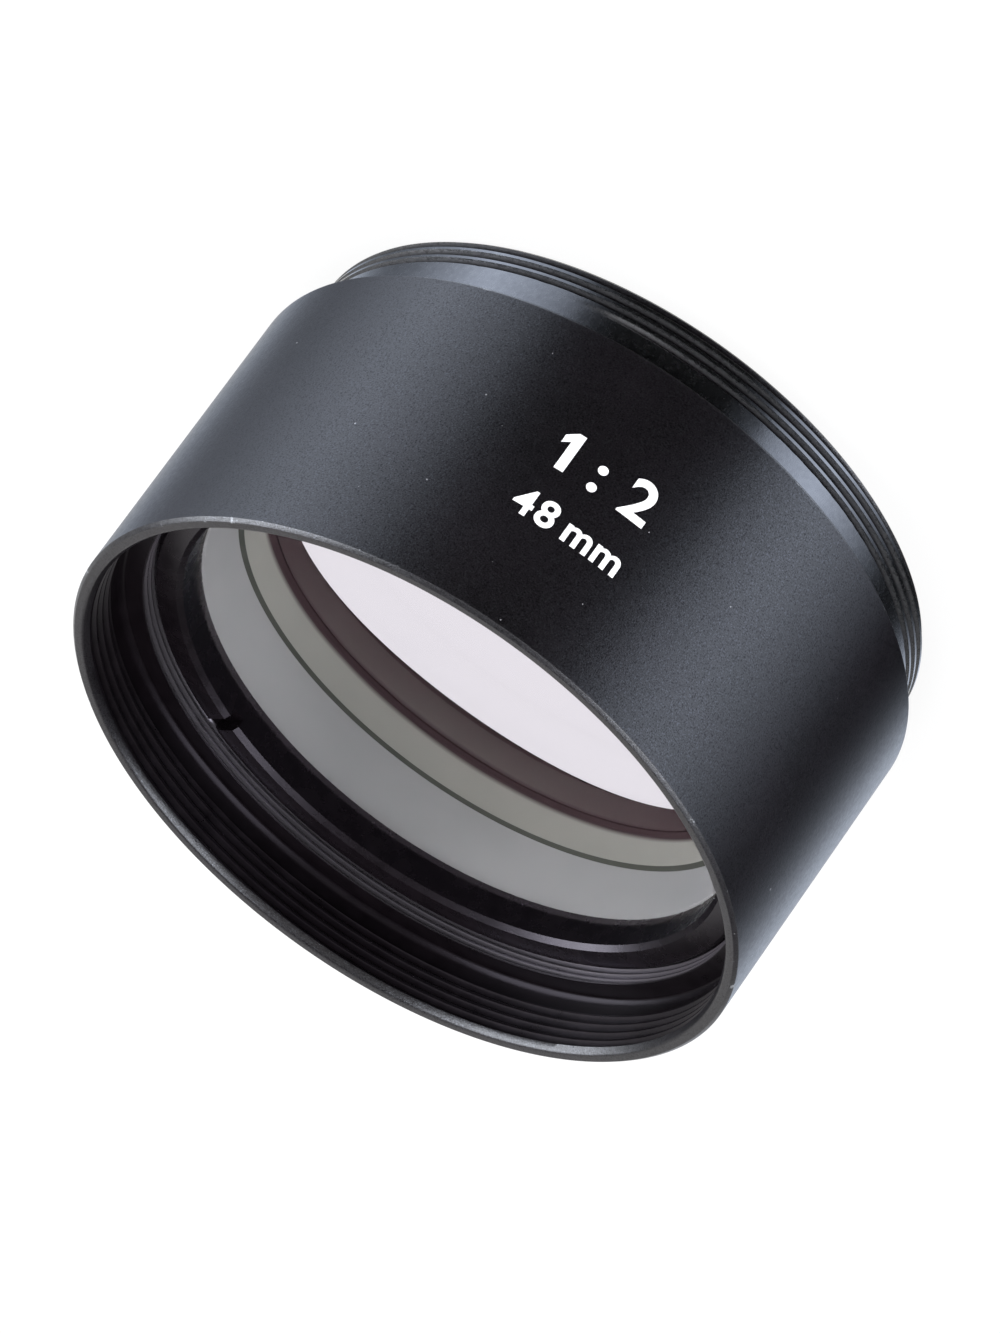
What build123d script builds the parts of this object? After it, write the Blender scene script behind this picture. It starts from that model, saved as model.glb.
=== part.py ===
from build123d import *
from math import sqrt
import os

# Auxiliary objective lens: a turned barrel holds a cemented doublet against a rear lip,
# and a slotted ring screwed in from the mouth clamps it.
# +Z runs along the optical axis towards the open mouth, and the threaded end stands on z = 0.
# All sizes are in millimetres.

# Threaded neck
neck_thread_diameter = 48.0
neck_length = 5.2
neck_end_chamfer = 0.35
neck_wall = 1.97

# Barrel walls, stacked outwards from the lens pocket
ring_overhang = 1.25
shoulder_width = 1.75
mouth_thread_depth = 0.45
rim_wall = 0.7
edge_chamfer = 0.25

# Barrel lengths, stacked upwards from the threaded end
lip_height = 2.0
pocket_step = 0.4
ring_recess = 1.1
relief_length = 1.7
mouth_thread_length = 3.5
mouth_lead_in = 0.28
mouth_lead_in_depth = 0.55
relief_corner_width = 0.25
relief_corner_height = 0.45

# Rear lip that carries the glass
lip_width = 0.53
lip_chamfer = 0.2

# Doublet
front_radius = 80.0
cement_radius = 60.0
front_centre_thickness = 3.7
rear_edge_thickness = 7.0
front_land_width = 1.1
lens_bevel = 0.35

# Retaining ring
ring_height = 2.75
ring_lip_width = 1.0
ring_outer_chamfer = 0.35
ring_inner_chamfer = 0.35
slot_width = 1.1
slot_depth = 1.0
slot_count = 2
slot_angle = 54.6

# Clearances
lens_clearance = 0.03
ring_clearance = 0.05
cement_gap = 0.02

# Radii that follow from the walls
neck_radius = neck_thread_diameter / 2
pocket_radius = neck_radius - neck_wall
lens_radius = pocket_radius - lens_clearance
lip_radius = pocket_radius - lip_width
ring_radius = lens_radius + ring_overhang
ring_bore_radius = lens_radius - ring_lip_width
ring_seat_radius = ring_radius + ring_clearance
relief_radius = ring_seat_radius + shoulder_width
mouth_radius = relief_radius - mouth_thread_depth
body_radius = relief_radius + rim_wall


def dome(radius, r):
    """Height of a sphere's surface above its centre, at distance r from the axis."""
    return sqrt(radius**2 - r**2)


def sag(radius, r):
    """Depth of a spherical surface between its vertex and distance r from the axis."""
    return radius - dome(radius, r)


# Heights that follow from the glass and the ring
land_radius = lens_radius - front_land_width
seam_radius = lens_radius - lens_bevel
front_seam_thickness = front_centre_thickness + sag(front_radius, land_radius) + sag(cement_radius, seam_radius)
rear_face_height = lip_height
rear_seam_height = rear_face_height + rear_edge_thickness
front_seam_height = rear_seam_height + cement_gap
front_face_height = front_seam_height + front_seam_thickness
ring_top_height = front_face_height + ring_height
shoulder_height = ring_top_height + ring_recess
relief_top_height = shoulder_height + relief_length
rim_height = relief_top_height + mouth_thread_length


def turned(outline):
    """Solid turned about Z from a closed half-section in (radius, height)."""
    return revolve(Plane.XZ * make_face(outline), axis=Axis.Z)


def barrel():
    """One turned piece: threaded neck, body, threaded mouth, ring seat, lens pocket and rear lip."""
    outside = [
        (lip_radius + lip_chamfer, 0),
        (neck_radius - neck_end_chamfer, 0),
        (neck_radius, neck_end_chamfer),
        (neck_radius, neck_length),
        (body_radius - edge_chamfer, neck_length),
        (body_radius, neck_length + edge_chamfer),
        (body_radius, rim_height - edge_chamfer),
        (body_radius - edge_chamfer, rim_height),
    ]
    mouth = [
        (mouth_radius + mouth_lead_in, rim_height),
        (mouth_radius, rim_height - mouth_lead_in_depth),
        (mouth_radius, relief_top_height),
        (relief_radius, relief_top_height),
        (relief_radius, shoulder_height + relief_corner_height),
        (relief_radius - relief_corner_width, shoulder_height),
    ]
    glass_seat = [
        (ring_seat_radius, shoulder_height),
        (ring_seat_radius, front_face_height - pocket_step),
        (pocket_radius, front_face_height - pocket_step),
        (pocket_radius, rear_face_height),
        (lip_radius, rear_face_height),
        (lip_radius, lip_chamfer),
    ]
    return turned(Polyline(outside + mouth + glass_seat, close=True))


def front_element():
    """Biconcave crown: a flat land round the concave front, bevelled rims, curved cement face."""
    vertex = front_face_height - sag(front_radius, land_radius)
    middle = land_radius / 2
    middle_height = vertex + sag(front_radius, middle)
    seam_vertex = front_seam_height + sag(cement_radius, seam_radius)
    seam_middle = seam_radius / 2
    seam_middle_height = seam_vertex - sag(cement_radius, seam_middle)
    outline = [
        ThreePointArc((0, vertex), (middle, middle_height), (land_radius, front_face_height)),
        Polyline(
            (land_radius, front_face_height),
            (lens_radius - lens_bevel, front_face_height),
            (lens_radius, front_face_height - lens_bevel),
            (lens_radius, front_seam_height + lens_bevel),
            (seam_radius, front_seam_height),
        ),
        ThreePointArc((seam_radius, front_seam_height), (seam_middle, seam_middle_height), (0, seam_vertex)),
        Line((0, seam_vertex), (0, vertex)),
    ]
    return turned(outline)


def rear_element():
    """Flint: its convex cement face fits the front element, and its flat rear face stands on the lip."""
    seam_vertex = rear_seam_height + sag(cement_radius, seam_radius)
    seam_middle = seam_radius / 2
    seam_middle_height = seam_vertex - sag(cement_radius, seam_middle)
    outline = [
        Polyline(
            (0, seam_vertex),
            (0, rear_face_height),
            (lens_radius - lens_bevel, rear_face_height),
            (lens_radius, rear_face_height + lens_bevel),
            (lens_radius, rear_seam_height - lens_bevel),
            (seam_radius, rear_seam_height),
        ),
        ThreePointArc((seam_radius, rear_seam_height), (seam_middle, seam_middle_height), (0, seam_vertex)),
    ]
    return turned(outline)


def retaining_ring():
    """Threaded ring that clamps the glass, with radial spanner slots across its outer face."""
    ring = turned(
        Polyline(
            (ring_bore_radius, front_face_height),
            (ring_radius - ring_outer_chamfer, front_face_height),
            (ring_radius, front_face_height + ring_outer_chamfer),
            (ring_radius, ring_top_height - ring_outer_chamfer),
            (ring_radius - ring_outer_chamfer, ring_top_height),
            (ring_bore_radius + ring_inner_chamfer, ring_top_height),
            (ring_bore_radius, ring_top_height - ring_inner_chamfer),
            close=True,
        )
    )
    cutter = Box(
        ring_radius * 2,
        slot_width,
        slot_depth,
        align=(Align.MIN, Align.CENTER, Align.MAX),
    )
    for index in range(slot_count):
        turn = slot_angle + index * 360 / slot_count
        ring -= Pos(0, 0, ring_top_height) * Rot(0, 0, turn) * cutter
    return ring


nodes = {
    "barrel": barrel(),
    "retaining_ring": retaining_ring(),
    "front_element": front_element(),
    "rear_element": rear_element(),
}

os.makedirs("parts", exist_ok=True)
for node_name, shape in nodes.items():
    export_step(shape, f"parts/{node_name}.step")

print(f"height {rim_height:.2f}, body diameter {2 * body_radius:.2f}, mouth bore {2 * mouth_radius:.2f}")
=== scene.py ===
import math

import bmesh
import bpy
from mathutils import Matrix, Vector


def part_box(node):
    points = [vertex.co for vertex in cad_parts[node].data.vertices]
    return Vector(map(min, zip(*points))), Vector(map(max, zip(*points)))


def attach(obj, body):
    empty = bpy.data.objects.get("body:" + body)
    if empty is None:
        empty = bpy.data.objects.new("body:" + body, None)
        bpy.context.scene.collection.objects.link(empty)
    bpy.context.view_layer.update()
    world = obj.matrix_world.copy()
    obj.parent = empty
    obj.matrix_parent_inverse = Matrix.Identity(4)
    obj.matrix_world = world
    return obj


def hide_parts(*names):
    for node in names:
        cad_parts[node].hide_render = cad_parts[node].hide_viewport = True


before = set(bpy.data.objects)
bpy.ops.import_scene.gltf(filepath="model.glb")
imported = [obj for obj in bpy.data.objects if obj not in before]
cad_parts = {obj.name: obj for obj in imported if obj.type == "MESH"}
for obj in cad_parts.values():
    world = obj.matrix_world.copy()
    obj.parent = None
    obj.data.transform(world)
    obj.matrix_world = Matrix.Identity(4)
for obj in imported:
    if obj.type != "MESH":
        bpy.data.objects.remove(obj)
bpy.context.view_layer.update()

# Lengths below are in millimetres, and MM turns them into the scene's metres.
MM = 0.001
FULL_TURN = 2 * math.pi

# Main radii and heights, taken from the frame's boxes
_, barrel_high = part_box("barrel")
_, ring_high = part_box("retaining_ring")
_, front_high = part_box("front_element")
rear_low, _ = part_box("rear_element")
BODY_RADIUS = barrel_high.x / MM
RIM_HEIGHT = barrel_high.z / MM
RING_RADIUS = ring_high.x / MM
RING_TOP = ring_high.z / MM
GLASS_RADIUS = front_high.x / MM
GLASS_TOP = front_high.z / MM
GLASS_REAR = rear_low.z / MM

# Outside of the barrel
PRINT_THICKNESS = 0.012
WALL_RADIUS = BODY_RADIUS - PRINT_THICKNESS
NECK_RADIUS = 24.0
NECK_LENGTH = 5.2
NECK_END_CHAMFER = 0.35
EDGE_CHAMFER = 0.25
EDGE_ROUNDING = 0.045
RIM_ROUNDING = 0.16
# How far worn skin reaches from an edge
WEAR_REACH = 0.12

# Inside of the barrel
RING_CLEARANCE = 0.05
LENS_CLEARANCE = 0.03
MOUTH_RADIUS = 24.6
MOUTH_LEAD_IN = 0.28
MOUTH_LEAD_IN_DEPTH = 0.55
MOUTH_THREAD_LENGTH = 3.5
RELIEF_RADIUS = 25.05
RELIEF_LENGTH = 1.7
RELIEF_CORNER_WIDTH = 0.25
RELIEF_CORNER_HEIGHT = 0.45
RELIEF_ROUNDING = 0.17
SEAT_RADIUS = RING_RADIUS + RING_CLEARANCE
POCKET_RADIUS = GLASS_RADIUS + LENS_CLEARANCE
POCKET_STEP = 0.4
LIP_RADIUS = 21.5
LIP_CHAMFER = 0.2

# Threads
THREAD_PITCH = 0.75
MALE_DEPTH = 0.44
MALE_GROOVE_HEIGHT = 2.67
MALE_GROOVE_ANGLE = math.radians(-95)
MALE_THREAD_END = math.radians(-62)
MALE_FADE = math.radians(40)
MALE_THREAD_TOP = 3.4
MALE_RUN_OUT = 0.05
# Metal shows bare on the neck down to this depth below the crest
BARE_DEPTH = 0.16
FEMALE_DEPTH = 0.4
FEMALE_GROOVE_DROP = 1.13
FEMALE_GROOVE_ANGLE = math.radians(-5)
FEMALE_FADE = 0.2
SEAT_PITCH = 0.5
SEAT_DEPTH = 0.27
SEAT_THREAD_LENGTH = 1.5
# How bare the metal shows at the seat's crests, and how deep the bareness would reach
SEAT_BARE = 0.82
SEAT_BARE_DEPTH = 3 * SEAT_DEPTH
SEAT_GROOVE_DROP = 0.27
SEAT_GROOVE_ANGLE = math.radians(98)

# Doublet
FRONT_RADIUS = 80.0
LAND_WIDTH = 1.1
LENS_BEVEL = 0.35
REAR_EDGE = 7.0
GLASS_IOR = 1.62
# Height of the brown band of painted dark reflection above the rear face, its fade and its unevenness
REAR_BAND = 0.7
REAR_FADE = 0.9
REAR_UNEVEN = 0.1

# Mesh fineness
COLUMNS = 480
DOME_ROWS = 40
MERGE_DISTANCE = 0.0008
SLIVER_DISTANCE = 0.0004
# Creases sharper than these stay crisp, in degrees
BARREL_CREASE = 32
GLASS_CREASE = 10


def clamp(value, low, high):
    return max(low, min(high, value))


def smooth(x):
    x = clamp(x, 0.0, 1.0)
    return x * x * (3 - 2 * x)


# Geometry helpers


def rounded(points, size):
    """The same open outline in (radius, height) with each inner corner rounded by a short curve.
    A corner with a third value is rounded by that much instead."""
    out = [points[0][:2]]
    for before, corner, after in zip(points, points[1:], points[2:]):
        corner_v = Vector(corner[:2])
        back = Vector(before[:2]) - corner_v
        ahead = Vector(after[:2]) - corner_v
        own = corner[2] if len(corner) == 3 else size
        reach = min(own, back.length / 3, ahead.length / 3)
        start = corner_v + back.normalized() * reach
        end = corner_v + ahead.normalized() * reach
        for t in (0.0, 0.33, 0.67, 1.0):
            point = start * (1 - t) ** 2 + corner_v * 2 * t * (1 - t) + end * t**2
            out.append((point.x, point.y))
    out.append(points[-1][:2])
    return out


class Thread:
    """A right-handed screw thread. The middle of its groove passes the stated height at the stated angle,
    and its crest takes the stated share of each pitch."""

    EASE = 0.03
    ROUNDED = 0.08

    def __init__(self, pitch, crest, root, groove_height, groove_angle):
        self.pitch = pitch
        self.groove_height = groove_height
        self.groove_angle = groove_angle
        self.middle = (1 + crest) / 2
        flank = (1 - crest - root) / 2
        # One pitch as (share of the pitch, share of the depth cut away)
        self.form = [
            (0.0, self.ROUNDED),
            (self.EASE, 0.0),
            (crest - self.EASE, 0.0),
            (crest, self.ROUNDED),
            (crest + flank, 1 - self.ROUNDED),
            (crest + flank + self.EASE, 1.0),
            (1 - flank - self.EASE, 1.0),
            (1 - flank, 1 - self.ROUNDED),
            (1.0, self.ROUNDED),
        ]

    def phase(self, height, angle):
        """Turns up the thread from the crest below the groove, where whole numbers are one pitch apart."""
        climb = (angle - self.groove_angle) / FULL_TURN
        return (height - self.groove_height) / self.pitch - climb + self.middle

    def cut(self, height, angle):
        """Share of the thread's depth that is cut away at this place."""
        phase = self.phase(height, angle)
        share = phase - math.floor(phase)
        for (p0, d0), (p1, d1) in zip(self.form, self.form[1:]):
            if share <= p1:
                return d0 + (d1 - d0) * (share - p0) / (p1 - p0)
        return self.form[-1][1]

    def rows(self, low, high, radius_at):
        """Rows that follow the turns between two heights, as functions from angle to (radius, height)."""
        first = math.floor((low - self.groove_height) / self.pitch) - 2
        last = math.ceil((high - self.groove_height) / self.pitch) + 2
        rows = []
        for turn in range(first, last):
            for share, _ in self.form[:-1]:
                offset = self.groove_height + self.pitch * (turn + share - self.middle)

                def row(angle, offset=offset):
                    height = offset + self.pitch * (angle - self.groove_angle) / FULL_TURN
                    height = clamp(height, low, high)
                    return radius_at(height, angle), height

                rows.append(row)
        return rows


RELIEF_TOP = RIM_HEIGHT - MOUTH_THREAD_LENGTH
SHOULDER = RELIEF_TOP - RELIEF_LENGTH
LEAD_IN_END = RIM_HEIGHT - MOUTH_LEAD_IN_DEPTH
MALE = Thread(THREAD_PITCH, 0.34, 0.16, MALE_GROOVE_HEIGHT, MALE_GROOVE_ANGLE)
FEMALE = Thread(THREAD_PITCH, 0.25, 0.13, RIM_HEIGHT - FEMALE_GROOVE_DROP, FEMALE_GROOVE_ANGLE)
SEAT = Thread(SEAT_PITCH, 0.24, 0.12, SHOULDER - SEAT_GROOVE_DROP, SEAT_GROOVE_ANGLE)


def male_radius(height, angle):
    """Outside radius of the neck where the thread is cut: the crest, the groove or the end chamfer."""
    turns_to_end = math.floor(MALE.phase(height, angle)) + (angle - MALE_THREAD_END) / FULL_TURN
    fade = smooth(-turns_to_end * FULL_TURN / MALE_FADE)
    crest = NECK_RADIUS - MALE_DEPTH * MALE.cut(height, angle) * fade
    return min(crest, NECK_RADIUS - NECK_END_CHAMFER + height)


def female_radius(height, angle):
    """Bore radius in the mouth, where the thread fades out below the plain lead-in."""
    fade = smooth((LEAD_IN_END - height) / FEMALE_FADE)
    return MOUTH_RADIUS + FEMALE_DEPTH * FEMALE.cut(height, angle) * fade


def seat_radius(height, angle):
    """Bore radius above and beside the ring, with the fine thread that the ring is screwed into."""
    return SEAT_RADIUS + SEAT_DEPTH * SEAT.cut(height, angle)


def fixed_rows(points):
    return [lambda angle, point=point: point for point in points]


def lathe(name, rows, closed=True):
    """A mesh turned about Z from rows, each a function from angle to (radius, height) in millimetres."""
    mesh = bpy.data.meshes.new(name)
    bm = bmesh.new()
    grid = []
    for column in range(COLUMNS + 1):
        angle = FULL_TURN * column / COLUMNS
        c, s = math.cos(angle), math.sin(angle)
        line = []
        for row in rows:
            radius, height = row(angle)
            line.append(bm.verts.new((radius * c * MM, radius * s * MM, height * MM)))
        grid.append(line)
    count = len(rows)
    for left, right in zip(grid, grid[1:]):
        for i in range(count if closed else count - 1):
            j = (i + 1) % count
            bm.faces.new((left[i], right[i], right[j], left[j]))
    bmesh.ops.remove_doubles(bm, verts=bm.verts, dist=MERGE_DISTANCE * MM)
    bmesh.ops.dissolve_degenerate(bm, edges=bm.edges, dist=SLIVER_DISTANCE * MM)
    bmesh.ops.recalc_face_normals(bm, faces=bm.faces)
    bm.to_mesh(mesh)
    bm.free()
    piece = bpy.data.objects.new(name, mesh)
    bpy.context.scene.collection.objects.link(piece)
    return piece


def shade(piece, sharp_degrees):
    """Smooth shading with edges sharper than the angle kept crisp."""
    mesh = piece.data
    bm = bmesh.new()
    bm.from_mesh(mesh)
    limit = math.radians(sharp_degrees)
    for face in bm.faces:
        face.smooth = True
    for edge in bm.edges:
        edge.smooth = not (len(edge.link_faces) == 2 and edge.calc_face_angle(0) > limit)
    bm.to_mesh(mesh)
    bm.free()


def store(mesh, name, values):
    """Keeps one number for each point of the mesh, for its material to read."""
    attribute = mesh.attributes.new(name, "FLOAT", "POINT")
    attribute.data.foreach_set("value", values)


def mark_bare(piece, bands):
    """Stores on each point how bare its metal is.
    Each band is (low, high, start radius, full radius, strength)."""
    values = []
    for vertex in piece.data.vertices:
        radius = math.hypot(vertex.co.x, vertex.co.y) / MM
        height = vertex.co.z / MM
        bare = 0.0
        for low, high, start, full, strength in bands:
            if low <= height <= high:
                bare = max(bare, strength * smooth((radius - start) / (full - start)))
        values.append(bare)
    store(piece.data, "machined", values)


def near_edges(piece, circles, width):
    """Stores on each point how near it lies to one of these edge circles, each (radius, height, strength)."""
    values = []
    for vertex in piece.data.vertices:
        radius = math.hypot(vertex.co.x, vertex.co.y) / MM
        height = vertex.co.z / MM
        near = 0.0
        for edge_radius, edge_height, strength in circles:
            gap = math.hypot(radius - edge_radius, height - edge_height)
            near = max(near, strength * smooth(1 - gap / width))
        values.append(near)
    store(piece.data, "edge_wear", values)


# Materials

# Light grains, dust and nicks in the anodised skin, and the metal under it
GLINT_COLOUR = (0.066, 0.066, 0.071)
SPECK_COLOUR = (0.22, 0.22, 0.235)
NICK_COLOUR = (0.26, 0.27, 0.29)
METAL_DARK = (0.116, 0.117, 0.123)
METAL_LIGHT = (0.138, 0.139, 0.145)
# Thin skin on the crests inside, and the tint of its shine
RUBBED_COLOUR = (0.125, 0.115, 0.130)
SKIN_TINT = (0.98, 0.88, 1.0, 1.0)
# The coating on the glass mirrors little, and the glass is faintly smeared
COATING_TINT = (0.10, 0.06, 0.12, 1.0)
CLEAN_GLASS = (0.985, 0.98, 0.985)
SMEARED_GLASS = (0.965, 0.965, 0.975)
SHADOW_GLASS = (0.95, 0.95, 0.95, 1.0)
INK_DULL = (0.86, 0.86, 0.88)
INK_BRIGHT = (0.94, 0.94, 0.96)
PAPER_DARK = (0.84, 0.84, 0.84)
PAPER_LIGHT = (0.86, 0.86, 0.86)
WHITE = (1.0, 1.0, 1.0, 1.0)
# White ground as the lens passes it on
WINDOW_COLOUR = (0.90, 0.86, 0.92, 1.0)
# Brown of the painted dark reflection on the rear edge and of the painted shade on the rear bevel
PAINTED_REAR_DARK = (0.052, 0.033, 0.036)

# Grain of each noise, in cells per metre
FINE_GRAIN = 9000.0
BROAD_GRAIN = 2600.0
MOTTLE_GRAIN = 140.0
SPECK_GRAIN = 560.0
NICK_GRAIN = 700.0
STREAK_GRAIN = 650.0
TURNED_GRAIN = 5000.0
CLOUD_GRAIN = 90.0
BAND_GRAIN = 60.0
SMEAR_GRAIN = 45.0
INK_GRAIN = 3200.0
PAPER_GRAIN = 30.0
# A noise's values lie mostly between these
NOISE_LOW = 0.3
NOISE_HIGH = 0.7
# Depth of the blasted and the turned grain, in millimetres
BLASTED_DEPTH = 0.02
TURNED_DEPTH = 0.01
SPECK_SIZE = 0.06
SKIN_IOR = 1.5
# How bare the neck's metal shows through its thin skin, and how much smoother it is
BARE_METAL = 0.97
BARE_POLISH = 0.08
# Share of the floor's white that the camera and reflections see as plain light
SEEN_SHARE = 0.86


class Nodes:
    """Short calls for building one material's node tree."""

    def __init__(self, name, world=None):
        self.material = world or bpy.data.materials.new(name)
        self.material.use_nodes = True
        self.tree = self.material.node_tree
        self.tree.nodes.clear()
        self.output = self.add("ShaderNodeOutputWorld" if world else "ShaderNodeOutputMaterial")

    def add(self, kind, **values):
        node = self.tree.nodes.new(kind)
        for key, value in values.items():
            setattr(node, key, value)
        return node

    def join(self, start, end):
        self.tree.links.new(start, end)

    def place(self):
        return self.add("ShaderNodeTexCoord").outputs["Object"]

    def noise(self, scale, detail=3.0, roughness=0.5):
        node = self.add("ShaderNodeTexNoise")
        node.inputs["Scale"].default_value = scale
        node.inputs["Detail"].default_value = detail
        node.inputs["Roughness"].default_value = roughness
        self.join(self.place(), node.inputs["Vector"])
        return node.outputs["Fac"]

    def ramp(self, source, low, high, to_low=0.0, to_high=1.0):
        node = self.add("ShaderNodeMapRange")
        node.inputs["From Min"].default_value = low
        node.inputs["From Max"].default_value = high
        node.inputs["To Min"].default_value = to_low
        node.inputs["To Max"].default_value = to_high
        self.join(source, node.inputs["Value"])
        return node.outputs["Result"]

    def spread(self, source, to_low=0.0, to_high=1.0):
        """Stretches a noise over the whole range between the two values."""
        return self.ramp(source, NOISE_LOW, NOISE_HIGH, to_low, to_high)

    def math(self, operation, a, b):
        node = self.add("ShaderNodeMath", operation=operation)
        for socket, value in zip(node.inputs, (a, b)):
            if isinstance(value, (int, float)):
                socket.default_value = value
            else:
                self.join(value, socket)
        return node.outputs[0]

    def mix(self, factor, a, b):
        node = self.add("ShaderNodeMix", data_type="RGBA")
        pairs = ((node.inputs[0], factor), (node.inputs[6], a), (node.inputs[7], b))
        for socket, value in pairs:
            if isinstance(value, (int, float)):
                socket.default_value = value
            elif isinstance(value, tuple):
                socket.default_value = (*value, 1.0)
            else:
                self.join(value, socket)
        return node.outputs[2]

    def bump(self, height, strength, distance):
        node = self.add("ShaderNodeBump")
        node.inputs["Strength"].default_value = strength
        node.inputs["Distance"].default_value = distance
        self.join(height, node.inputs["Height"])
        return node.outputs["Normal"]

    def attribute(self, name):
        return self.add("ShaderNodeAttribute", attribute_name=name).outputs["Fac"]


def anodised(name, base, rough):
    """Black anodised aluminium: fine blasted grain, faint mottling, dust specks, and nicks at worn edges.
    Where the mesh says machined, the skin is thinner and the metal under it shines through."""
    n = Nodes(name)
    shader = n.add("ShaderNodeBsdfPrincipled")
    machined = n.attribute("machined")
    grain_fine = n.noise(FINE_GRAIN, 1.0, 0.5)
    grain_broad = n.noise(BROAD_GRAIN, 3.0, 0.5)
    mottle = n.noise(MOTTLE_GRAIN, 4.0, 0.6)
    shade_low = tuple(0.7 * c for c in base)
    shade_high = tuple(1.4 * c for c in base)
    colour = n.mix(n.spread(mottle), shade_low, shade_high)
    glint = n.ramp(grain_fine, 0.61, 0.65)
    colour = n.mix(glint, colour, GLINT_COLOUR)
    speck_cells = n.add("ShaderNodeTexVoronoi")
    speck_cells.inputs["Scale"].default_value = SPECK_GRAIN
    n.join(n.place(), speck_cells.inputs["Vector"])
    speck_size = n.ramp(speck_cells.outputs["Color"], 0.3, 1.0, 0.0, SPECK_SIZE)
    speck = n.math("LESS_THAN", speck_cells.outputs["Distance"], speck_size)
    colour = n.mix(speck, colour, SPECK_COLOUR)
    turning = n.spread(grain_broad)
    metal = n.mix(turning, METAL_DARK, METAL_LIGHT)
    colour = n.mix(machined, colour, metal)
    nick_break = n.ramp(n.noise(NICK_GRAIN, 5.0, 0.7), 0.62, 0.68, 0.03, 1.0)
    nick = n.math("MULTIPLY", n.attribute("edge_wear"), nick_break)
    colour = n.mix(nick, colour, NICK_COLOUR)
    n.join(colour, shader.inputs["Base Color"])
    pits = n.ramp(grain_fine, 0.46, 0.30, 0.0, 0.5)
    bare = n.math("MULTIPLY", machined, BARE_METAL)
    grains = n.math("MAXIMUM", glint, pits)
    n.join(n.math("MAXIMUM", bare, grains), shader.inputs["Metallic"])
    blasted = n.spread(grain_broad, rough - 0.03, rough + 0.04)
    cut = n.math("MULTIPLY", machined, -BARE_POLISH)
    n.join(n.math("ADD", blasted, cut), shader.inputs["Roughness"])
    height = n.math("ADD", grain_fine, n.math("MULTIPLY", grain_broad, 0.8))
    n.join(n.bump(height, 0.5, BLASTED_DEPTH * MM), shader.inputs["Normal"])
    shader.inputs["IOR"].default_value = SKIN_IOR
    n.join(shader.outputs[0], n.output.inputs["Surface"])
    return n.material


def matt_black(name, base, rough, gloss):
    """Skin inside the barrel, which the blasting didn't reach: plain turned black with faint streaks.
    Where the mesh says machined, it is rubbed thin."""
    n = Nodes(name)
    shader = n.add("ShaderNodeBsdfPrincipled")
    machined = n.attribute("machined")
    streaks = n.spread(n.noise(STREAK_GRAIN, 4.0, 0.6))
    colour = n.mix(streaks, tuple(0.75 * c for c in base), tuple(1.3 * c for c in base))
    n.join(n.mix(machined, colour, RUBBED_COLOUR), shader.inputs["Base Color"])
    n.join(machined, shader.inputs["Metallic"])
    n.join(n.ramp(streaks, 0.0, 1.0, rough - 0.03, rough + 0.03), shader.inputs["Roughness"])
    n.join(n.bump(n.noise(TURNED_GRAIN, 2.0, 0.6), 0.2, TURNED_DEPTH * MM), shader.inputs["Normal"])
    shader.inputs["Specular IOR Level"].default_value = gloss
    shader.inputs["Specular Tint"].default_value = SKIN_TINT
    n.join(shader.outputs[0], n.output.inputs["Surface"])
    return n.material


def ground_glass(name, base, shift, rear=None):
    """Fine-ground edge of a lens seen from inside the glass.
    Where a rear colour is given, a band of it lies above the rear face and fades out upwards: a painted dark
    reflection."""
    n = Nodes(name)
    shader = n.add("ShaderNodeBsdfPrincipled")
    cloud = n.spread(n.noise(CLOUD_GRAIN, 4.0, 0.6))
    colour = n.mix(cloud, base, tuple(c * shift for c in base))
    if rear is not None:
        split = n.add("ShaderNodeSeparateXYZ")
        n.join(n.place(), split.inputs[0])
        uneven = n.spread(n.noise(BAND_GRAIN, 2.0, 0.5), -REAR_UNEVEN * MM, REAR_UNEVEN * MM)
        height = n.math("ADD", split.outputs[2], uneven)
        low = (GLASS_REAR + REAR_BAND) * MM
        high = low + REAR_FADE * MM
        # Painted dark reflection: the rear colour darkens the edge towards the rear face
        colour = n.mix(n.ramp(height, high, low), colour, rear)
    n.join(colour, shader.inputs["Base Color"])
    n.join(n.ramp(cloud, 0.0, 1.0, 0.78, 0.88), shader.inputs["Roughness"])
    shader.inputs["Specular IOR Level"].default_value = 0.0
    n.join(shader.outputs[0], n.output.inputs["Surface"])
    return n.material


def polished_glass(name):
    """Coated optical glass that lets the lamps through to its ground edges."""
    n = Nodes(name)
    shader = n.add("ShaderNodeBsdfPrincipled")
    shader.inputs["Transmission Weight"].default_value = 1.0
    shader.inputs["IOR"].default_value = GLASS_IOR
    shader.inputs["Roughness"].default_value = 0.0
    shader.inputs["Specular Tint"].default_value = COATING_TINT
    smear = n.spread(n.noise(SMEAR_GRAIN, 3.0, 0.6))
    n.join(n.mix(smear, CLEAN_GLASS, SMEARED_GLASS), shader.inputs["Base Color"])
    clear = n.add("ShaderNodeBsdfTransparent")
    clear.inputs["Color"].default_value = SHADOW_GLASS
    path = n.add("ShaderNodeLightPath")
    mix = n.add("ShaderNodeMixShader")
    n.join(path.outputs["Is Shadow Ray"], mix.inputs[0])
    n.join(shader.outputs[0], mix.inputs[1])
    n.join(clear.outputs[0], mix.inputs[2])
    n.join(mix.outputs[0], n.output.inputs["Surface"])
    return n.material


def white_ink(name):
    """Printed white with a faintly uneven tone."""
    n = Nodes(name)
    shader = n.add("ShaderNodeBsdfPrincipled")
    tone = n.spread(n.noise(INK_GRAIN, 3.0, 0.6))
    n.join(n.mix(tone, INK_DULL, INK_BRIGHT), shader.inputs["Base Color"])
    n.join(n.ramp(tone, 0.0, 1.0, 0.45, 0.6), shader.inputs["Roughness"])
    n.join(shader.outputs[0], n.output.inputs["Surface"])
    return n.material


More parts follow.
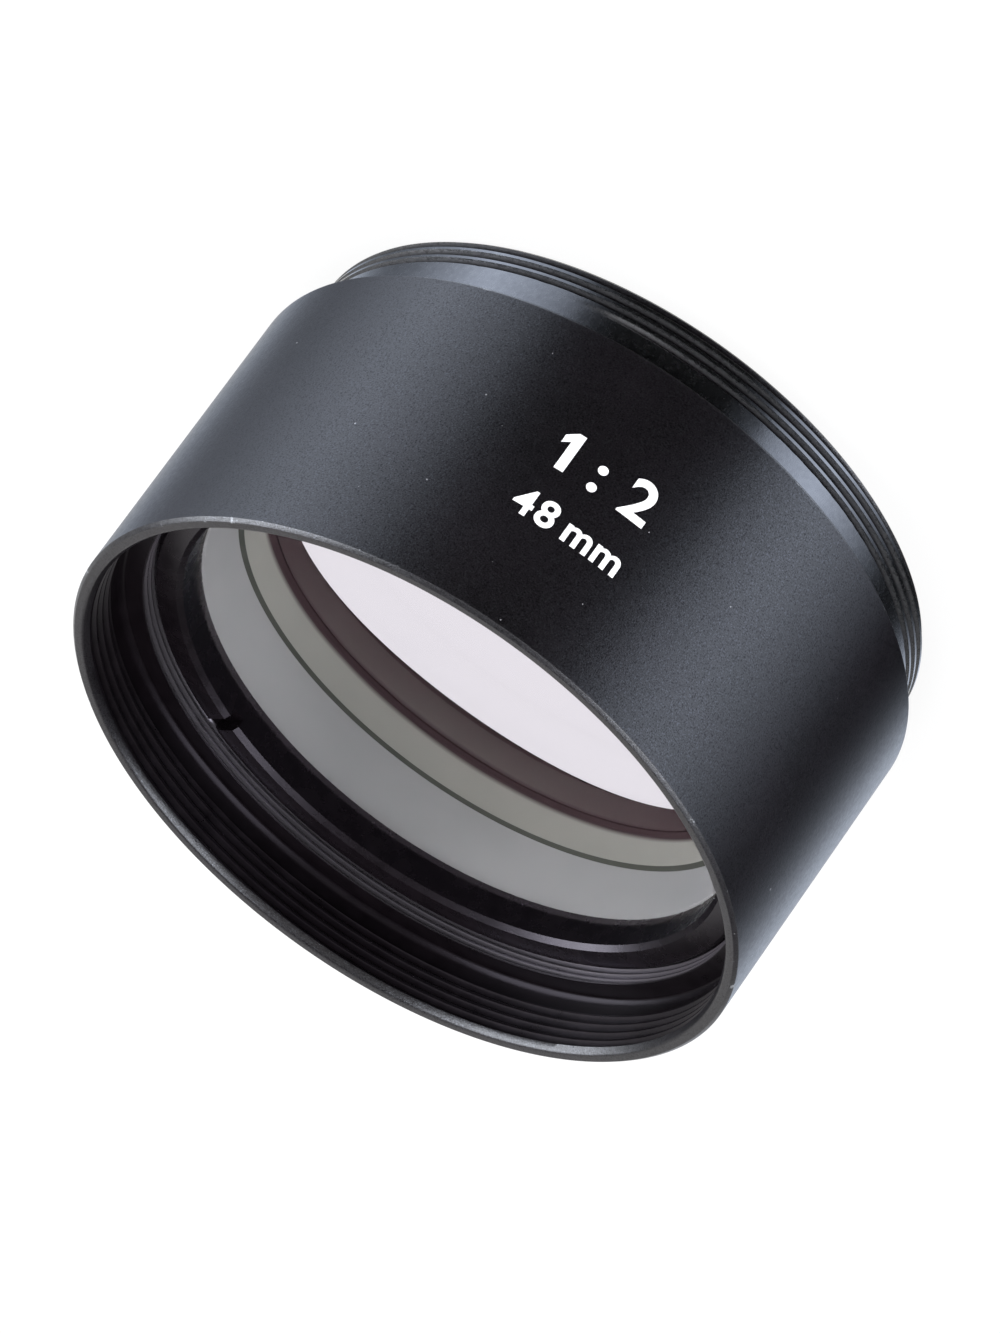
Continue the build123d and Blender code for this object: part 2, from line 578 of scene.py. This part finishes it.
def white_floor(name):
    """White to the camera and in reflections, with the shadow kept; plain white paper to the lamps."""
    n = Nodes(name)
    path = n.add("ShaderNodeLightPath")
    seen = n.math("MAXIMUM", path.outputs["Is Camera Ray"], path.outputs["Is Glossy Ray"])
    through = path.outputs["Is Transmission Ray"]
    paper = n.add("ShaderNodeBsdfDiffuse")
    tone = n.spread(n.noise(PAPER_GRAIN, 3.0))
    n.join(n.mix(tone, PAPER_DARK, PAPER_LIGHT), paper.inputs["Color"])
    glow = n.add("ShaderNodeEmission")
    glow.inputs["Color"].default_value = WHITE
    glow.inputs["Strength"].default_value = 1.0
    window = n.add("ShaderNodeEmission")
    window.inputs["Color"].default_value = WINDOW_COLOUR
    window.inputs["Strength"].default_value = 1.0
    seen_mix = n.add("ShaderNodeMixShader")
    n.join(n.math("MULTIPLY", seen, SEEN_SHARE), seen_mix.inputs[0])
    n.join(paper.outputs[0], seen_mix.inputs[1])
    n.join(glow.outputs[0], seen_mix.inputs[2])
    through_mix = n.add("ShaderNodeMixShader")
    n.join(through, through_mix.inputs[0])
    n.join(seen_mix.outputs[0], through_mix.inputs[1])
    n.join(window.outputs[0], through_mix.inputs[2])
    n.join(through_mix.outputs[0], n.output.inputs["Surface"])
    return n.material


def card_face(name, colour):
    """A staged card's face: its own light, as strong as the mesh says at each place, which paints what
    reflections show.
    """
    n = Nodes(name)
    face = n.add("ShaderNodeEmission")
    face.inputs["Color"].default_value = (*colour, 1.0)
    n.join(n.attribute("glow"), face.inputs["Strength"])
    n.join(face.outputs[0], n.output.inputs["Surface"])
    n.material.cycles.emission_sampling = "NONE"
    return n.material


# Pieces


def barrel_rows():
    """Rows once round the barrel's section: up the outside, then down the mouth and the bores."""
    start = [(LIP_RADIUS + LIP_CHAMFER, 0.0)]
    outside = rounded(
        [
            (NECK_RADIUS, MALE_THREAD_TOP + MALE_RUN_OUT),
            (NECK_RADIUS, NECK_LENGTH),
            (WALL_RADIUS - EDGE_CHAMFER, NECK_LENGTH),
            (WALL_RADIUS, NECK_LENGTH + EDGE_CHAMFER),
            (WALL_RADIUS, NECK_LENGTH + EDGE_CHAMFER + WEAR_REACH),
            (WALL_RADIUS, RIM_HEIGHT - EDGE_CHAMFER - WEAR_REACH),
            (WALL_RADIUS, RIM_HEIGHT - EDGE_CHAMFER),
            (WALL_RADIUS - EDGE_CHAMFER, RIM_HEIGHT),
            (WALL_RADIUS - EDGE_CHAMFER - WEAR_REACH, RIM_HEIGHT),
            (MOUTH_RADIUS + MOUTH_LEAD_IN, RIM_HEIGHT, RIM_ROUNDING),
            (MOUTH_RADIUS, LEAD_IN_END),
        ],
        EDGE_ROUNDING,
    )
    relief = rounded(
        [
            (RELIEF_RADIUS, RELIEF_TOP),
            (RELIEF_RADIUS, SHOULDER + RELIEF_CORNER_HEIGHT, RELIEF_ROUNDING),
            (RELIEF_RADIUS - RELIEF_CORNER_WIDTH, SHOULDER, RELIEF_ROUNDING),
            (SEAT_RADIUS + WEAR_REACH, SHOULDER),
            (SEAT_RADIUS, SHOULDER),
            (SEAT_RADIUS, SHOULDER - WEAR_REACH),
        ],
        EDGE_ROUNDING,
    )
    pocket = rounded(
        [
            (SEAT_RADIUS, SHOULDER - SEAT_THREAD_LENGTH - WEAR_REACH),
            (SEAT_RADIUS, GLASS_TOP - POCKET_STEP),
            (POCKET_RADIUS, GLASS_TOP - POCKET_STEP),
            (POCKET_RADIUS, GLASS_REAR),
            (LIP_RADIUS, GLASS_REAR),
            (LIP_RADIUS, LIP_CHAMFER),
            (LIP_RADIUS + LIP_CHAMFER, 0.0),
        ],
        EDGE_ROUNDING,
    )[:-1]
    male = MALE.rows(0.0, MALE_THREAD_TOP, male_radius)
    female = FEMALE.rows(RELIEF_TOP, LEAD_IN_END, female_radius)
    seat = SEAT.rows(SHOULDER - SEAT_THREAD_LENGTH, SHOULDER - WEAR_REACH, seat_radius)
    rows = fixed_rows(start) + male + fixed_rows(outside) + female[::-1]
    return rows + fixed_rows(relief) + seat[::-1] + fixed_rows(pocket)


def barrel_skin(radius, height):
    """Which of the barrel's materials covers this place: 0 blasted outside, 1 turned inside,
    2 relief groove, 3 lip."""
    if radius < POCKET_RADIUS + EDGE_ROUNDING and height < GLASS_REAR + EDGE_ROUNDING:
        return 3
    outside = radius > RELIEF_RADIUS + EDGE_ROUNDING or height < NECK_LENGTH + EDGE_CHAMFER
    if height > LEAD_IN_END or outside:
        return 0
    if SHOULDER < height < RELIEF_TOP and radius > SEAT_RADIUS + WEAR_REACH:
        return 2
    return 1


def cover(piece, materials, choose):
    """Gives the piece its materials, and each face the one that choose picks by radius and height."""
    for material in materials:
        piece.data.materials.append(material)
    for face in piece.data.polygons:
        radius = math.hypot(face.center.x, face.center.y) / MM
        height = face.center.z / MM
        face.material_index = choose(radius, height)


def make_barrel(*skins):
    piece = lathe("barrel_turned", barrel_rows())
    shade(piece, BARREL_CREASE)
    near_edges(
        piece,
        [
            (WALL_RADIUS, RIM_HEIGHT - EDGE_CHAMFER, 1.0),
            (WALL_RADIUS - EDGE_CHAMFER, RIM_HEIGHT, 0.6),
            (WALL_RADIUS, NECK_LENGTH + EDGE_CHAMFER, 0.6),
            (NECK_RADIUS, NECK_END_CHAMFER, 0.4),
        ],
        WEAR_REACH,
    )
    neck_top = NECK_LENGTH - EDGE_ROUNDING / 2
    seat_top = SHOULDER - EDGE_ROUNDING
    mark_bare(
        piece,
        [
            (0.0, neck_top, NECK_RADIUS - BARE_DEPTH, NECK_RADIUS, 1.0),
            (RING_TOP - SEAT_PITCH, seat_top, SEAT_RADIUS + SEAT_BARE_DEPTH, SEAT_RADIUS, SEAT_BARE),
        ],
    )
    cover(piece, skins, barrel_skin)
    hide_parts("barrel")
    return piece


def dome_points(radius, vertex_height, outer):
    """Points from the axis outwards on a concave spherical face."""
    points = []
    for i in range(DOME_ROWS + 1):
        r = outer * i / DOME_ROWS
        points.append((r, vertex_height + radius - math.sqrt(radius**2 - r**2)))
    return points


SEAM_HEIGHT = GLASS_REAR + REAR_EDGE
SEAM_RADIUS = GLASS_RADIUS - LENS_BEVEL


def doublet_skin(radius, height):
    """Which of the doublet's materials covers this place: 0 polished, 1 front edge, 2 rear edge with a band
    of painted dark reflection,
    3 seam, 4 rear bevel in painted shade."""
    if radius < SEAM_RADIUS:
        return 0
    if abs(height - SEAM_HEIGHT) < LENS_BEVEL:
        return 3
    if height > SEAM_HEIGHT:
        return 1
    # The rear bevel's dark colour is painted shade
    return 4 if height < GLASS_REAR + LENS_BEVEL else 2


def make_doublet(*skins):
    """Both cemented elements as one closed body of glass: polished faces, ground edges and a seam groove."""
    land = GLASS_RADIUS - LAND_WIDTH
    vertex = GLASS_TOP - FRONT_RADIUS + math.sqrt(FRONT_RADIUS**2 - land**2)
    profile = dome_points(FRONT_RADIUS, vertex, land) + [
        (SEAM_RADIUS, GLASS_TOP),
        (GLASS_RADIUS, GLASS_TOP - LENS_BEVEL),
        (GLASS_RADIUS, SEAM_HEIGHT + LENS_BEVEL),
        (SEAM_RADIUS, SEAM_HEIGHT),
        (GLASS_RADIUS, SEAM_HEIGHT - LENS_BEVEL),
        (GLASS_RADIUS, GLASS_REAR + LENS_BEVEL),
        (SEAM_RADIUS, GLASS_REAR),
        (0.0, GLASS_REAR),
    ]
    piece = lathe("cemented_doublet", fixed_rows(profile[::-1]), closed=False)
    shade(piece, GLASS_CREASE)
    cover(piece, skins, doublet_skin)
    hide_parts("front_element", "rear_element")
    return piece


# Text

PRINT_ANGLE = math.radians(-87.2)
# Lines as text, middle height, letter height and arc length
PRINT_LINES = [
    ("1:2", 14.5, 3.2, 7.6),
    ("48 mm", 19.35, 2.1, 8.3),
]
# Long letters are cut across at this step, so that they follow the round wall
PRINT_STEP = 0.3
PRINT_RADIUS = BODY_RADIUS - PRINT_THICKNESS / 10
CURVE_FINENESS = 6
# The font's figures are this high at size one, and its strokes are thickened by this offset
LETTER_HEIGHT = 0.72
LETTER_WEIGHT = 0.022
WORD_GAP = 0.12
# Figure one with a flag, in shares of the letter height
FIGURE_ONE = [(0.18, 0.0), (0.40, 0.0), (0.40, 1.0), (0.23, 1.0), (0.0, 0.82), (0.0, 0.61), (0.18, 0.73)]


def letter(character):
    """One flat letter on its baseline, as (corners, faces) in shares of the figures' height."""
    if character == "1":
        return [Vector((x, y, 0)) for x, y in FIGURE_ONE], [tuple(range(len(FIGURE_ONE)))]
    curve = bpy.data.curves.new("letter", "FONT")
    curve.body = character
    curve.offset = LETTER_WEIGHT
    curve.resolution_u = CURVE_FINENESS
    source = bpy.data.objects.new("letter", curve)
    bpy.context.scene.collection.objects.link(source)
    bpy.context.view_layer.update()
    flat = bpy.data.meshes.new_from_object(source)
    corners = [v.co.copy() / LETTER_HEIGHT for v in flat.vertices]
    faces = [tuple(f.vertices) for f in flat.polygons]
    left = min(c.x for c in corners)
    for c in corners:
        c.x -= left
    bpy.data.objects.remove(source)
    bpy.data.meshes.remove(flat)
    return corners, faces


def set_type(bm, text, letter_height, arc):
    """Lays the text's letters out flat about the middle of an arc's length, and cuts them across in steps."""
    glyphs = [letter(c) if c != " " else ([Vector((WORD_GAP, 0, 0))], []) for c in text]
    widths = [max(c.x for c in corners) * letter_height for corners, _ in glyphs]
    gap = (arc - sum(widths)) / (len(text) - 1)
    x = -arc / 2
    for (corners, faces), width in zip(glyphs, widths):
        if faces:
            verts = [bm.verts.new((x + c.x * letter_height, (c.y - 0.5) * letter_height, 0)) for c in corners]
            for face in faces:
                bm.faces.new([verts[i] for i in face])
        x += width + gap
    cut = -arc / 2 + PRINT_STEP
    while cut < arc / 2:
        geometry = bm.verts[:] + bm.edges[:] + bm.faces[:]
        bmesh.ops.bisect_plane(bm, geom=geometry, plane_co=(cut, 0, 0), plane_no=(1, 0, 0))
        cut += PRINT_STEP


def print_line(text, height_middle, letter_height, arc, material):
    """One printed line wrapped round the body, with letter tops towards the threaded end."""
    bm = bmesh.new()
    set_type(bm, text, letter_height, arc)
    for v in bm.verts:
        angle = PRINT_ANGLE - v.co.x / BODY_RADIUS
        across, along = PRINT_RADIUS * math.cos(angle), PRINT_RADIUS * math.sin(angle)
        v.co = Vector((across, along, height_middle - v.co.y)) * MM
    bmesh.ops.recalc_face_normals(bm, faces=bm.faces)
    if bm.faces[:][0].normal.y > 0:
        bmesh.ops.reverse_faces(bm, faces=bm.faces)
    name = "print_" + "_".join(c for c in text if c.isalnum())
    mesh = bpy.data.meshes.new(name)
    bm.to_mesh(mesh)
    bm.free()
    piece = bpy.data.objects.new(name, mesh)
    bpy.context.scene.collection.objects.link(piece)
    mesh.materials.append(material)
    return piece


# Studio

LAMP_TARGET = Vector((0.0, 0.0, 0.02))
SHINE_COLOUR = (0.93, 0.98, 1.06)
# Name, place and two sizes in metres, watts, and whether only reflections show it
LAMPS = [
    ("shine_right", (0.66, -0.09, 0.33), 0.76, 0.52, 13.5, True),
    ("shine_left", (-0.51, -0.40, 0.44), 0.57, 0.55, 7.4, True),
    ("lamp_right", (0.54, -0.06, 0.54), 0.45, 0.45, 4.2, False),
    ("lamp_left", (-0.56, -0.02, 0.52), 0.4, 0.4, 3.3, False),
    ("lamp_top", (0.0, 0.2, 0.7), 0.6, 0.4, 2.4, False),
    ("lamp_fill", (0.0, -0.65, 0.55), 0.5, 0.4, 4.8, False),
]
# The dark disc over the lens, a painted dark reflection
FLAG_LIFT = 0.3
FLAG_RADIUS = RING_RADIUS - 2.5
FLAG_GLOW = 0.05
# The card that the round wall mirrors, a painted reflection, with its rays in whole degrees
CARD_LIFT = 0.3
CARD_REACH = 160.0
CARD_STEP = 1
# Tint of the painted reflections on the staged cards
PAINTED_REFLECTION_TINT = (0.80, 0.89, 1.05)
# Light on the card, which paints the wall's reflection, as (angle in degrees clockwise from +X, strength)
PAINTED_REFLECTION_GLOW = [
    (9, 1.3), (13, 0.98), (16, 0.7), (22, 0.44), (28, 0.6), (34, 1.15), (40, 1.85), (47, 3.05),
    (53, 2.55), (58, 1.95), (63, 1.3), (67, 0.3), (70, 0.07), (74, 0.0), (96, 0.0), (102, 0.28),
    (106, 1.75), (111, 2.7), (117, 3.45), (122, 2.45), (128, 1.4), (134, 0.5), (140, 0.03),
    (147, 0.02), (153, 0.14), (160, 0.87), (166, 1.7), (174, 1.3),
]
# Camera fitted to the photograph: place in millimetres and axes in the part's frame
CAMERA_LENS = 305.59
CAMERA_SENSOR = 36.0
CAMERA_PLACE = Vector((-0.318, -658.320, 392.79))
CAMERA_RIGHT = Vector((-0.811316, -0.290355, -0.507406))
CAMERA_UP = Vector((0.584608, -0.402953, -0.704174))
CAMERA_BACK = Vector((0.0, -0.867941, 0.496667))
# The room as it lights surfaces, as the lens passes it on, and as reflections show it
ROOM_COLOUR = (0.9, 0.94, 1.0, 1.0)
ROOM_LEVEL = 0.45
THROUGH_LEVEL = 0.05
SIDE_LEVEL = 0.15
END_LEVEL = 1.05
TOP_LEVEL = 1.5
TOP_WAY = (0.15, 0.5, 1.0)
FLOOR_HALF = 3


def area_lamp(name, position, size_x, size_y, watts, shine):
    """A soft lamp aimed at the object. A shine lamp shows in reflections only.
    The others light surfaces only."""
    light = bpy.data.lights.new(name, "AREA")
    light.shape = "RECTANGLE"
    light.size = size_x
    light.size_y = size_y
    light.energy = watts
    light.color = SHINE_COLOUR if shine else (1.0, 1.0, 1.0)
    lamp = bpy.data.objects.new(name, light)
    lamp.location = position
    lamp.rotation_euler = (LAMP_TARGET - Vector(position)).to_track_quat("-Z", "Y").to_euler()
    lamp.visible_glossy = shine
    lamp.visible_diffuse = not shine
    bpy.context.scene.collection.objects.link(lamp)
    return lamp


def stage_card(name, mesh, strengths):
    """A staged card of this mesh that only reflections show, with its light at each point: a painted
    reflection.
    """
    store(mesh, "glow", strengths)
    card = bpy.data.objects.new(name, mesh)
    bpy.context.scene.collection.objects.link(card)
    mesh.materials.append(card_face(name + "_face", PAINTED_REFLECTION_TINT))
    card.visible_camera = False
    card.visible_diffuse = False
    card.visible_shadow = False
    card.visible_transmission = False


def strength_at(glow, angle):
    """Strength at this angle in a list of (angle, strength)."""
    for (a0, s0), (a1, s1) in zip(glow, glow[1:]):
        if a0 <= angle < a1:
            return s0 + (s1 - s0) * (angle - a0) / (a1 - a0)
    return glow[-1][1]


def painted_reflection_card(name, glow):
    """A card on the floor that only reflections show, painting the round wall's reflection. Each of its rays
    is where the round wall mirrors the camera's view from one angle, and it glows as the list of (angle,
    strength) says."""
    verts = []
    strengths = []
    angles = range(glow[0][0], glow[-1][0] + CARD_STEP, CARD_STEP)
    for angle in angles:
        t = math.radians(angle)
        foot = Vector((math.cos(t), -math.sin(t), 0.0))
        away = Vector((math.sin(2 * t), math.cos(2 * t), 0.0))
        lift = Vector((0.0, 0.0, CARD_LIFT))
        for point in (foot * NECK_RADIUS, foot * BODY_RADIUS, foot * BODY_RADIUS + away * CARD_REACH):
            verts.append((point + lift) * MM)
        strengths += [strength_at(glow, angle)] * 3
    faces = []
    for i in range(len(angles) - 1):
        for j in (0, 1):
            k = 3 * i + j
            faces.append((k, k + 1, k + 4, k + 3))
    mesh = bpy.data.meshes.new(name)
    mesh.from_pydata(verts, [], faces)
    stage_card(name, mesh, strengths)


def painted_dark_reflection_disc(name, height, radius, glow):
    """A dark disc close above the lens that only reflections show: a painted dark reflection in place of the
    coated glass's weak mirroring.
    """
    angles = [FULL_TURN * i / COLUMNS for i in range(COLUMNS)]
    rim = [Vector((radius * math.cos(a), radius * math.sin(a), height)) * MM for a in angles]
    mesh = bpy.data.meshes.new(name)
    mesh.from_pydata(rim, [], [tuple(range(COLUMNS))])
    stage_card(name, mesh, [glow] * COLUMNS)


def make_camera():
    data = bpy.data.cameras.new("camera")
    data.lens = CAMERA_LENS
    data.sensor_width = CAMERA_SENSOR
    camera = bpy.data.objects.new("camera", data)
    turn = Matrix((CAMERA_RIGHT, CAMERA_UP, CAMERA_BACK)).transposed()
    camera.matrix_world = Matrix.Translation(CAMERA_PLACE * MM) @ turn.to_4x4()
    bpy.context.scene.collection.objects.link(camera)
    bpy.context.scene.camera = camera


def make_world():
    """Plain pale room, white where the camera sees it and where it lights the glass from within, and dim
    where the camera looks at it through the glass. Its reflection is bright in front, behind and overhead,
    and dimmer to the sides."""
    world = bpy.data.worlds.new("studio")
    bpy.context.scene.world = world
    n = Nodes("", world)
    room = n.add("ShaderNodeBackground")
    room.inputs["Color"].default_value = ROOM_COLOUR
    white = n.add("ShaderNodeBackground")
    white.inputs["Color"].default_value = WHITE
    white.inputs["Strength"].default_value = 1.0
    direction = n.add("ShaderNodeSeparateXYZ")
    way = n.add("ShaderNodeTexCoord").outputs["Generated"]
    n.join(way, direction.inputs[0])
    mirrored = n.add("ShaderNodeBackground")
    ends = n.ramp(n.math("ABSOLUTE", direction.outputs[1], 0.0), 0.6, 0.86, SIDE_LEVEL, END_LEVEL)
    tilt = n.add("ShaderNodeVectorMath", operation="DOT_PRODUCT")
    n.join(way, tilt.inputs[0])
    tilt.inputs[1].default_value = TOP_WAY
    overhead = n.ramp(tilt.outputs["Value"], 0.86, 0.98, SIDE_LEVEL, TOP_LEVEL)
    n.join(n.math("MAXIMUM", ends, overhead), mirrored.inputs["Strength"])
    path = n.add("ShaderNodeLightPath")
    through = path.outputs["Is Transmission Ray"]
    n.join(n.ramp(through, 0.0, 1.0, ROOM_LEVEL, THROUGH_LEVEL), room.inputs["Strength"])
    lighting = n.math("MULTIPLY", through, n.math("GREATER_THAN", path.outputs["Diffuse Depth"], 0.5))
    seen = n.math("MAXIMUM", path.outputs["Is Camera Ray"], lighting)
    first = n.add("ShaderNodeMixShader")
    n.join(seen, first.inputs[0])
    n.join(room.outputs[0], first.inputs[1])
    n.join(white.outputs[0], first.inputs[2])
    second = n.add("ShaderNodeMixShader")
    n.join(path.outputs["Is Glossy Ray"], second.inputs[0])
    n.join(first.outputs[0], second.inputs[1])
    n.join(mirrored.outputs[0], second.inputs[2])
    n.join(second.outputs[0], n.output.inputs["Surface"])


def make_floor():
    far = FLOOR_HALF
    mesh = bpy.data.meshes.new("floor")
    mesh.from_pydata([(-far, -far, 0), (far, -far, 0), (far, far, 0), (-far, far, 0)], [], [(0, 1, 2, 3)])
    floor = bpy.data.objects.new("floor", mesh)
    bpy.context.scene.collection.objects.link(floor)
    mesh.materials.append(white_floor("floor_paper"))


def make_studio():
    make_floor()
    # A painted reflection for the round wall
    painted_reflection_card("painted_reflection_front", PAINTED_REFLECTION_GLOW)
    painted_dark_reflection_disc("painted_dark_reflection_disc", GLASS_TOP + FLAG_LIFT, FLAG_RADIUS, FLAG_GLOW)
    for lamp in LAMPS:
        area_lamp(*lamp)


# Dressing the frame

BLASTED_BLACK = (0.0040, 0.0028, 0.0042)
TURNED_BLACK = (0.0034, 0.0024, 0.0032)

black = anodised("black_anodised", BLASTED_BLACK, 0.33)
inner_black = matt_black("inner_black", TURNED_BLACK, 0.30, 0.26)
relief_black = matt_black("relief_black", TURNED_BLACK, 0.34, 0.10)
ring_black = matt_black("ring_black", TURNED_BLACK, 0.27, 0.35)
lip_brown = ground_glass("lip_brown", (0.042, 0.025, 0.028), 0.85)
ink = white_ink("white_ink")

pieces = [
    make_barrel(black, inner_black, relief_black, lip_brown),
    make_doublet(
        polished_glass("coated_glass"),
        ground_glass("ground_edge_grey", (0.284, 0.281, 0.286), 0.92),
        # The rear edge's brown band above the rear face is painted dark reflection
        ground_glass("ground_edge_beige", (0.284, 0.276, 0.256), 0.92, PAINTED_REAR_DARK),
        ground_glass("seam_dark", (0.062, 0.064, 0.056), 0.9),
        ground_glass("ground_bevel_painted_shade", PAINTED_REAR_DARK, 0.9),
    ),
]
pieces += [print_line(*line, ink) for line in PRINT_LINES]
for piece in pieces:
    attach(piece, "root")

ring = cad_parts["retaining_ring"]
ring.data.materials.clear()
ring.data.materials.append(ring_black)

make_camera()
make_world()
make_studio()
bpy.context.scene.view_settings.view_transform = "Standard"
